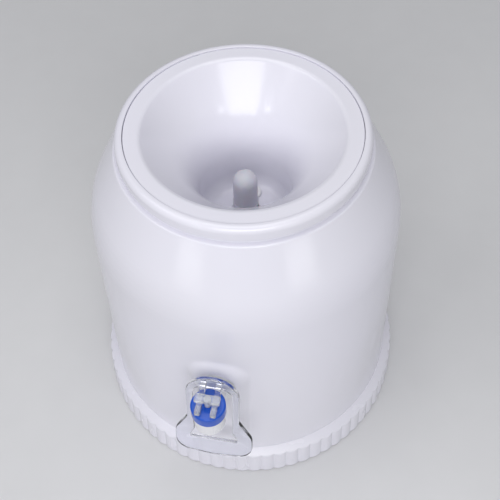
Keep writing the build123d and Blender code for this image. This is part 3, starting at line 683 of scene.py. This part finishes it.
# %% Blue cap
CAP_R, CAP_FOOT_Z, CAP_TOP_Z, CAP_COLUMNS = 12.5, 148.5, 158.5, 96
CHAMBER_FIT_R, CHAMBER_TOP_Z = 11.25, 154.0
POCKET_R, POCKET_TOP_Z, STEM_HOLE_R = 6.1, 156.5, 2.58
cap_corners = [
    (CHAMBER_FIT_R, CAP_FOOT_Z),
    (CAP_R, CAP_FOOT_Z),
    (CAP_R, CAP_TOP_Z),
    (STEM_HOLE_R, CAP_TOP_Z),
    (STEM_HOLE_R, POCKET_TOP_Z),
    (POCKET_R, POCKET_TOP_Z),
    (POCKET_R, CHAMBER_TOP_Z),
    (CHAMBER_FIT_R, CHAMBER_TOP_Z),
]
cap_outline = rounded(cap_corners, [0, 0.4, 1.5, 0.3, 0, 0, 0, 0], step=12.0)
cap = turned("blue_cap", cap_outline, even_angles(CAP_COLUMNS), centre=(0.0, VALVE_Y))
cap.data.materials.append(cap_blue)
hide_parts("bonnet_cap")
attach(cap, "dispenser_body")

# %% [markdown]
# The paddle looks cut from clear sheet, but it is really a moulding: a bell-shaped plate with a window,
# bent near its foot, and two arms at its top that reach forward over the cap. A flat filled curve with
# a small bevel gives a plate with rounded edges and a hole in one go. The plate is then laid along its
# bent line, after close level cuts that let it bend. Rounded edges matter here: on clear plastic they
# are what is seen.

# %% Flat shapes with rounded edges
def curve_mesh(curve):
    """Plain mesh of a curve, with no material on it."""
    holder = bpy.data.objects.new(curve.name, curve)
    bpy.context.scene.collection.objects.link(holder)
    ready = holder.evaluated_get(bpy.context.evaluated_depsgraph_get())
    mesh = bpy.data.meshes.new_from_object(ready)
    bpy.data.objects.remove(holder)
    mesh.materials.clear()
    return mesh


def cut_sheet(name, loops, thick, edge):
    """Mesh of a flat sheet in the XY plane, with its thickness along Z and its edges rounded."""
    curve = bpy.data.curves.new(name, "CURVE")
    curve.dimensions = "2D"
    curve.fill_mode = "BOTH"
    for loop in loops:
        spline = curve.splines.new("POLY")
        spline.points.add(len(loop) - 1)
        for point, (across, up) in zip(spline.points, loop):
            point.co = (across * MM, up * MM, 0.0, 1.0)
        spline.use_cyclic_u = True
    curve.extrude = (thick / 2 - edge) * MM
    curve.bevel_depth = edge * MM
    curve.bevel_resolution = 3
    curve.offset = -edge * MM
    return curve_mesh(curve)


def mirrored(points, radii):
    """Right half of an outline and its corner radii, completed to the left of the axis."""
    left = [(-x, z) for x, z in reversed(points) if x > 0]
    left_radii = [r for (x, z), r in zip(reversed(points), reversed(radii)) if x > 0]
    return points + left, radii + left_radii


# %% [markdown]
# The line that the plate follows, seen from the side: 8.5 degrees from upright down to the crease, 14.5
# below it.

# %% Paddle plate
PADDLE_T, PADDLE_TOP, PLATE_Y, CREASE_Z = 2.6, 168.0, -131.9, 92.3
LEAN_UP, LEAN_DOWN = math.radians(8.5), math.radians(14.5)
BEND_HALF = 4.0
PADDLE_HALF, PADDLE_SHOULDER_Z = 19.5, 119.4
FLARE_HALF, FLARE_Z, SIDE_END_Z, PADDLE_FOOT_Z = 29.5, 101.0, 78.2, 75.2
WINDOW_HALF, WINDOW_TOP_Z, WINDOW_FLARE_Z = 14.5, 157.7, 103.6
WINDOW_FOOT_HALF, WINDOW_FOOT_Z = 18.6, 93.3
PLATE_EDGE, FIRST_CUT_Z, CUT_STEP = 0.7, 77, 2


def plate_front(z):
    """Distance along Y of the plate's front face, and its lean, at height z."""
    below = max(0.0, min(1.0, (CREASE_Z + BEND_HALF - z) / (2 * BEND_HALF)))
    slope = math.tan(LEAN_UP) + (math.tan(LEAN_DOWN) - math.tan(LEAN_UP)) * below
    front = PLATE_Y - math.tan(LEAN_UP) * (PADDLE_TOP - z)
    extra = max(0.0, CREASE_Z + BEND_HALF - z)
    bend = extra * extra / (4 * BEND_HALF) if extra < 2 * BEND_HALF else extra - BEND_HALF
    return front - (math.tan(LEAN_DOWN) - math.tan(LEAN_UP)) * bend, math.atan(slope)


bell_half = [
    (PADDLE_HALF, PADDLE_TOP),
    (PADDLE_HALF, PADDLE_SHOULDER_Z),
    (FLARE_HALF, FLARE_Z),
    (FLARE_HALF, SIDE_END_Z),
    (0.0, PADDLE_FOOT_Z),
]
window_half = [
    (WINDOW_HALF, WINDOW_TOP_Z),
    (WINDOW_HALF, WINDOW_FLARE_Z),
    (WINDOW_FOOT_HALF, WINDOW_FOOT_Z),
]
bell_points, bell_radii = mirrored(bell_half, [19.0, 2.5, 18.0, 12.0, 60.0])
window_points, window_radii = mirrored(window_half, [9.0, 4.0, 1.2])
bell_loop = rounded(bell_points, bell_radii, step=5.0)
window_loop = rounded(window_points, window_radii, step=8.0)
plate_mesh = cut_sheet("paddle_plate", [bell_loop, window_loop], PADDLE_T, PLATE_EDGE)
work = bmesh.new()
work.from_mesh(plate_mesh)
bmesh.ops.remove_doubles(work, verts=work.verts, dist=WELD)
for level in range(FIRST_CUT_Z, int(PADDLE_TOP), CUT_STEP):
    everything = work.verts[:] + work.edges[:] + work.faces[:]
    bmesh.ops.bisect_plane(work, geom=everything, plane_co=(0, level * MM, 0), plane_no=(0, 1, 0))
for vert in work.verts:
    front, lean = plate_front(vert.co.y / MM)
    depth_in = (PADDLE_T / 2 - vert.co.z / MM) / math.cos(lean)
    vert.co = Vector((vert.co.x, (front + depth_in) * MM, vert.co.y))
work.to_mesh(plate_mesh)
work.free()
plate = make_object("paddle_plate", plate_mesh)

# %% [markdown]
# The arms are cut the same way from their side view, and then joined to the plate by a Boolean, because
# two clear solids that only overlap would show their hidden ends inside each other. Their front ends,
# the two prongs over the cap, look milky in the photograph, so they get a milky finish.

# %% Paddle arms
def across_plate(name, outline, low_x, high_x, edge):
    """Solid cut from a side view of (y, z) points, lying between low_x and high_x."""
    mesh = cut_sheet(name, [outline], high_x - low_x, edge)
    middle = (low_x + high_x) / 2
    for vert in mesh.vertices:
        y, z, x = vert.co
        vert.co = (x + middle * MM, y, z)
    return make_object(name, mesh)


HINGE_Y, ARM_BOTTOM, ARM_TOP, ARM_FOOT_R = -154.5, 158.8, 164.0, 2.0
ARM_STEP, ARM_STEP_RUN = 0.5, 1.0
ARM_ROOT, ARM_ROOT_DROP, ARM_BRACE, ARM_NECK = 1.2, 2.4, 3.0, 5.2
ARM_INSIDE, ARM_OUTSIDE, ARM_EDGE = 3.6, 7.4, 0.45
PRONG_BACK, PRONG_MARGIN = 2.0, 0.5
foot_front, foot_back = HINGE_Y - ARM_FOOT_R, HINGE_Y + 2 * ARM_FOOT_R
arm_under, root_top = ARM_BOTTOM + ARM_STEP, PADDLE_TOP - ARM_ROOT_DROP
arm_corners = [
    (foot_front, ARM_BOTTOM),
    (foot_back, ARM_BOTTOM),
    (foot_back + ARM_STEP_RUN, arm_under),
    (PLATE_Y + ARM_ROOT, arm_under),
    (PLATE_Y + ARM_ROOT, root_top),
    (PLATE_Y - ARM_BRACE, root_top),
    (VALVE_Y + ARM_NECK, ARM_TOP),
    (foot_front, ARM_TOP),
]
arm_outline = rounded(arm_corners, [1.95, 0.3, 0.3, 0, 0, 1.0, 0.5, 1.5], step=15.0)
arms = [
    across_plate("arm_right", arm_outline, ARM_INSIDE, ARM_OUTSIDE, ARM_EDGE),
    across_plate("arm_left", arm_outline, -ARM_OUTSIDE, -ARM_INSIDE, ARM_EDGE),
]
for arm in arms:
    join = plate.modifiers.new("join", "BOOLEAN")
    join.operation = "UNION"
    join.solver = "EXACT"
    join.object = arm
ready = plate.evaluated_get(bpy.context.evaluated_depsgraph_get())
joined = bpy.data.meshes.new_from_object(ready)
for used in arms + [plate]:
    bpy.data.objects.remove(used)
paddle = make_object("push_paddle", joined, keep_sharp=30.0)
paddle.data.materials.clear()
paddle.data.materials.append(paddle_clear)
paddle.data.materials.append(prong_milky)
prong_back = (VALVE_Y + PRONG_BACK) * MM
prong_low = ARM_BOTTOM * MM - PRONG_MARGIN * MM
for face in paddle.data.polygons:
    in_prong = face.center.y < prong_back and face.center.z > prong_low
    face.material_index = 1 if in_prong else 0
print("milky faces of the prongs", sum(face.material_index for face in paddle.data.polygons))
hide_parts("paddle")
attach(paddle, "paddle")

# %% [markdown]
# The bar on top of the stem, which the arms lift, is a short moulding with rounded upper edges.

# %% Stem bar
TEE_HALF, TEE_HALF_DEPTH, TEE_BOTTOM, TEE_TOP, TEE_EDGE = 9.0, 3.0, 164.3, 168.0, 0.5
tee_corners = [
    (VALVE_Y - TEE_HALF_DEPTH, TEE_BOTTOM),
    (VALVE_Y + TEE_HALF_DEPTH, TEE_BOTTOM),
    (VALVE_Y + TEE_HALF_DEPTH, TEE_TOP),
    (VALVE_Y - TEE_HALF_DEPTH, TEE_TOP),
]
tee_outline = rounded(tee_corners, [0.3, 0.3, 1.0, 1.0], step=15.0)
tee = across_plate("stem_bar", tee_outline, -TEE_HALF, TEE_HALF, TEE_EDGE)
tee.data.materials.append(prong_milky)
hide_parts("stem_tee")
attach(tee, "valve_stem")

# %% [markdown]
# The valve's spring stands inside the cap, between the disc on the stem and the seal. It is a wire
# swept along a helix of four turns. When the stem rises the real spring gets shorter; this one rides
# on the stem.

# %% Valve spring
SPRING_R, WIRE_R, SPRING_TURNS, STEPS_IN_A_TURN = 4.6, 0.5, 4, 36
SPRING_LOW, SPRING_HIGH, STEM_LIFT = 140.0, 154.6, 2.47
coil = bpy.data.curves.new("coil_spring", "CURVE")
coil.dimensions = "3D"
coil.bevel_depth = WIRE_R * MM
coil.bevel_resolution = 3
coil.use_fill_caps = True
coil_steps = STEPS_IN_A_TURN * SPRING_TURNS
wire = coil.splines.new("POLY")
wire.points.add(coil_steps)
for step, point in enumerate(wire.points):
    turn = 2 * math.pi * SPRING_TURNS * step / coil_steps
    up = SPRING_LOW + (SPRING_HIGH - SPRING_LOW) * step / coil_steps
    aside = SPRING_R * math.cos(turn)
    forward = VALVE_Y + SPRING_R * math.sin(turn)
    point.co = (aside * MM, forward * MM, up * MM, 1.0)
spring = make_object("coil_spring_piece", curve_mesh(coil))
spring.data.materials.append(screw_steel)
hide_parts("valve_spring")
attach(spring, "valve_stem")
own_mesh(spring)

# %% [markdown]
# The floor is a plain pale sheet. It is stage, not part of the object.

# %% Floor
floor_finish = Finish("floor_pale", Roughness=0.55)
grain = floor_finish.noise(30.0, 3.0)
floor_finish.feed("Base Color", floor_finish.blend(grain, (0.66, 0.66, 0.67, 1.0), (0.69, 0.69, 0.70, 1.0)))
floor_mesh = bpy.data.meshes.new("floor")
FLOOR_REACH = 4.0
floor_corners = [
    (-FLOOR_REACH, -FLOOR_REACH, 0),
    (FLOOR_REACH, -FLOOR_REACH, 0),
    (FLOOR_REACH, FLOOR_REACH, 0),
    (-FLOOR_REACH, FLOOR_REACH, 0),
]
floor_mesh.from_pydata(floor_corners, [], [(0, 1, 2, 3)])
floor = bpy.data.objects.new("floor", floor_mesh)
bpy.context.scene.collection.objects.link(floor)
floor.data.materials.append(floor_finish.material)

# %% [markdown]
# Light. The photograph shows two soft boxes, one to each side of the camera: each leaves a small bright
# patch in the funnel and on the shoulder. Mirroring the camera's rays at the four patches gives their
# directions. The patches in the funnel come from 30 degrees up, and those on the shoulder from just
# under level, so each side gets a small box and a low strip. The rest is soft light from the camera's
# side, from the left and from overhead, and a pale world. Everything stays at a plain level, so that a
# colour renders about as it is written.

# %% Lamps and world
BOX_DISTANCE, STUDIO_DISTANCE = 1.6, 2.2


def soft_box(name, spot, aim, size, power):
    lamp = bpy.data.lights.new(name, "AREA")
    lamp.shape = "RECTANGLE"
    lamp.size, lamp.size_y = size
    lamp.energy = power
    holder = bpy.data.objects.new(name, lamp)
    bpy.context.scene.collection.objects.link(holder)
    direction = Vector(aim) - Vector(spot)
    holder.rotation_euler = direction.to_track_quat("-Z", "Y").to_euler()
    holder.location = spot
    return holder


def around_object(azimuth, elevation, distance, height=0.2):
    """Point seen from the object at this azimuth and elevation, in degrees; azimuth 0 is towards -Y."""
    a, e = math.radians(azimuth), math.radians(elevation)
    flat = distance * math.cos(e)
    return (flat * math.sin(a), -flat * math.cos(a), height + distance * math.sin(e))


def mirrored_box(name, patch, azimuth, elevation, size, power):
    """Soft box 1.6 metres from the patch of surface, in millimetres, that mirrors it to the camera."""
    centre = [part * MM for part in patch]
    step = around_object(azimuth, elevation, BOX_DISTANCE, 0.0)
    return soft_box(name, [a + b for a, b in zip(centre, step)], centre, size, power)


mirrored_box("right_box", (-25.2, 43.7, 258.4), 44.8, 30.6, (0.20, 0.24), 0.85)
mirrored_box("left_box", (7.9, 49.5, 258.1), -26.3, 30.6, (0.22, 0.24), 0.95)
mirrored_box("left_strip", (-16.7, -95.6, 254.3), -26.4, -4.5, (0.50, 0.06), 0.65)
mirrored_box("right_strip", (53.0, -82.3, 252.6), 47.9, -4.3, (0.55, 0.06), 0.85)
soft_box("front_light", around_object(12.0, 36.0, STUDIO_DISTANCE), (0, 0, 0.15), (1.6, 1.0), 21.5)
soft_box("side_light", around_object(-62.0, 52.0, STUDIO_DISTANCE), (0, 0, 0.15), (1.2, 1.0), 8.0)
soft_box("top_light", (0.0, 0.1, STUDIO_DISTANCE), (0, 0, 0.1), (1.4, 1.4), 13.0)
world = bpy.data.worlds.new("studio")
world.use_nodes = True
background = world.node_tree.nodes["Background"]
background.inputs["Color"].default_value = (0.92, 0.94, 1.0, 1.0)
background.inputs["Strength"].default_value = 0.25
bpy.context.scene.world = world

# %% [markdown]
# The camera was fitted to the photograph: its focal length is 853 pixels on a frame of 500, it looks
# down at 54 degrees from 12 degrees to the right of the tap, and it is rolled by less than 2 degrees.

# %% Camera
FRAME_PX, FOCAL_PX = 500, 853.0
AZIMUTH, ELEVATION, ROLL = math.radians(12.0), math.radians(53.795), math.radians(1.763)
CAMERA_SPOT = (0.0863, -0.3964, 0.6966)
level_share = math.cos(ELEVATION)
back = Vector((math.sin(AZIMUTH) * level_share, -math.cos(AZIMUTH) * level_share, math.sin(ELEVATION)))
level_right = Vector((math.cos(AZIMUTH), math.sin(AZIMUTH), 0.0))
level_up = back.cross(level_right)
right = math.cos(ROLL) * level_right - math.sin(ROLL) * level_up
up = math.sin(ROLL) * level_right + math.cos(ROLL) * level_up
camera_data = bpy.data.cameras.new("camera")
camera_data.sensor_width = 36.0
camera_data.lens = FOCAL_PX / FRAME_PX * camera_data.sensor_width
camera = bpy.data.objects.new("camera", camera_data)
bpy.context.scene.collection.objects.link(camera)
turn = Matrix((right, up, back)).transposed().to_4x4()
camera.matrix_world = Matrix.Translation(CAMERA_SPOT) @ turn
bpy.context.scene.camera = camera
bpy.context.scene.view_settings.view_transform = "Standard"
print("camera lens %.1f mm" % camera_data.lens)
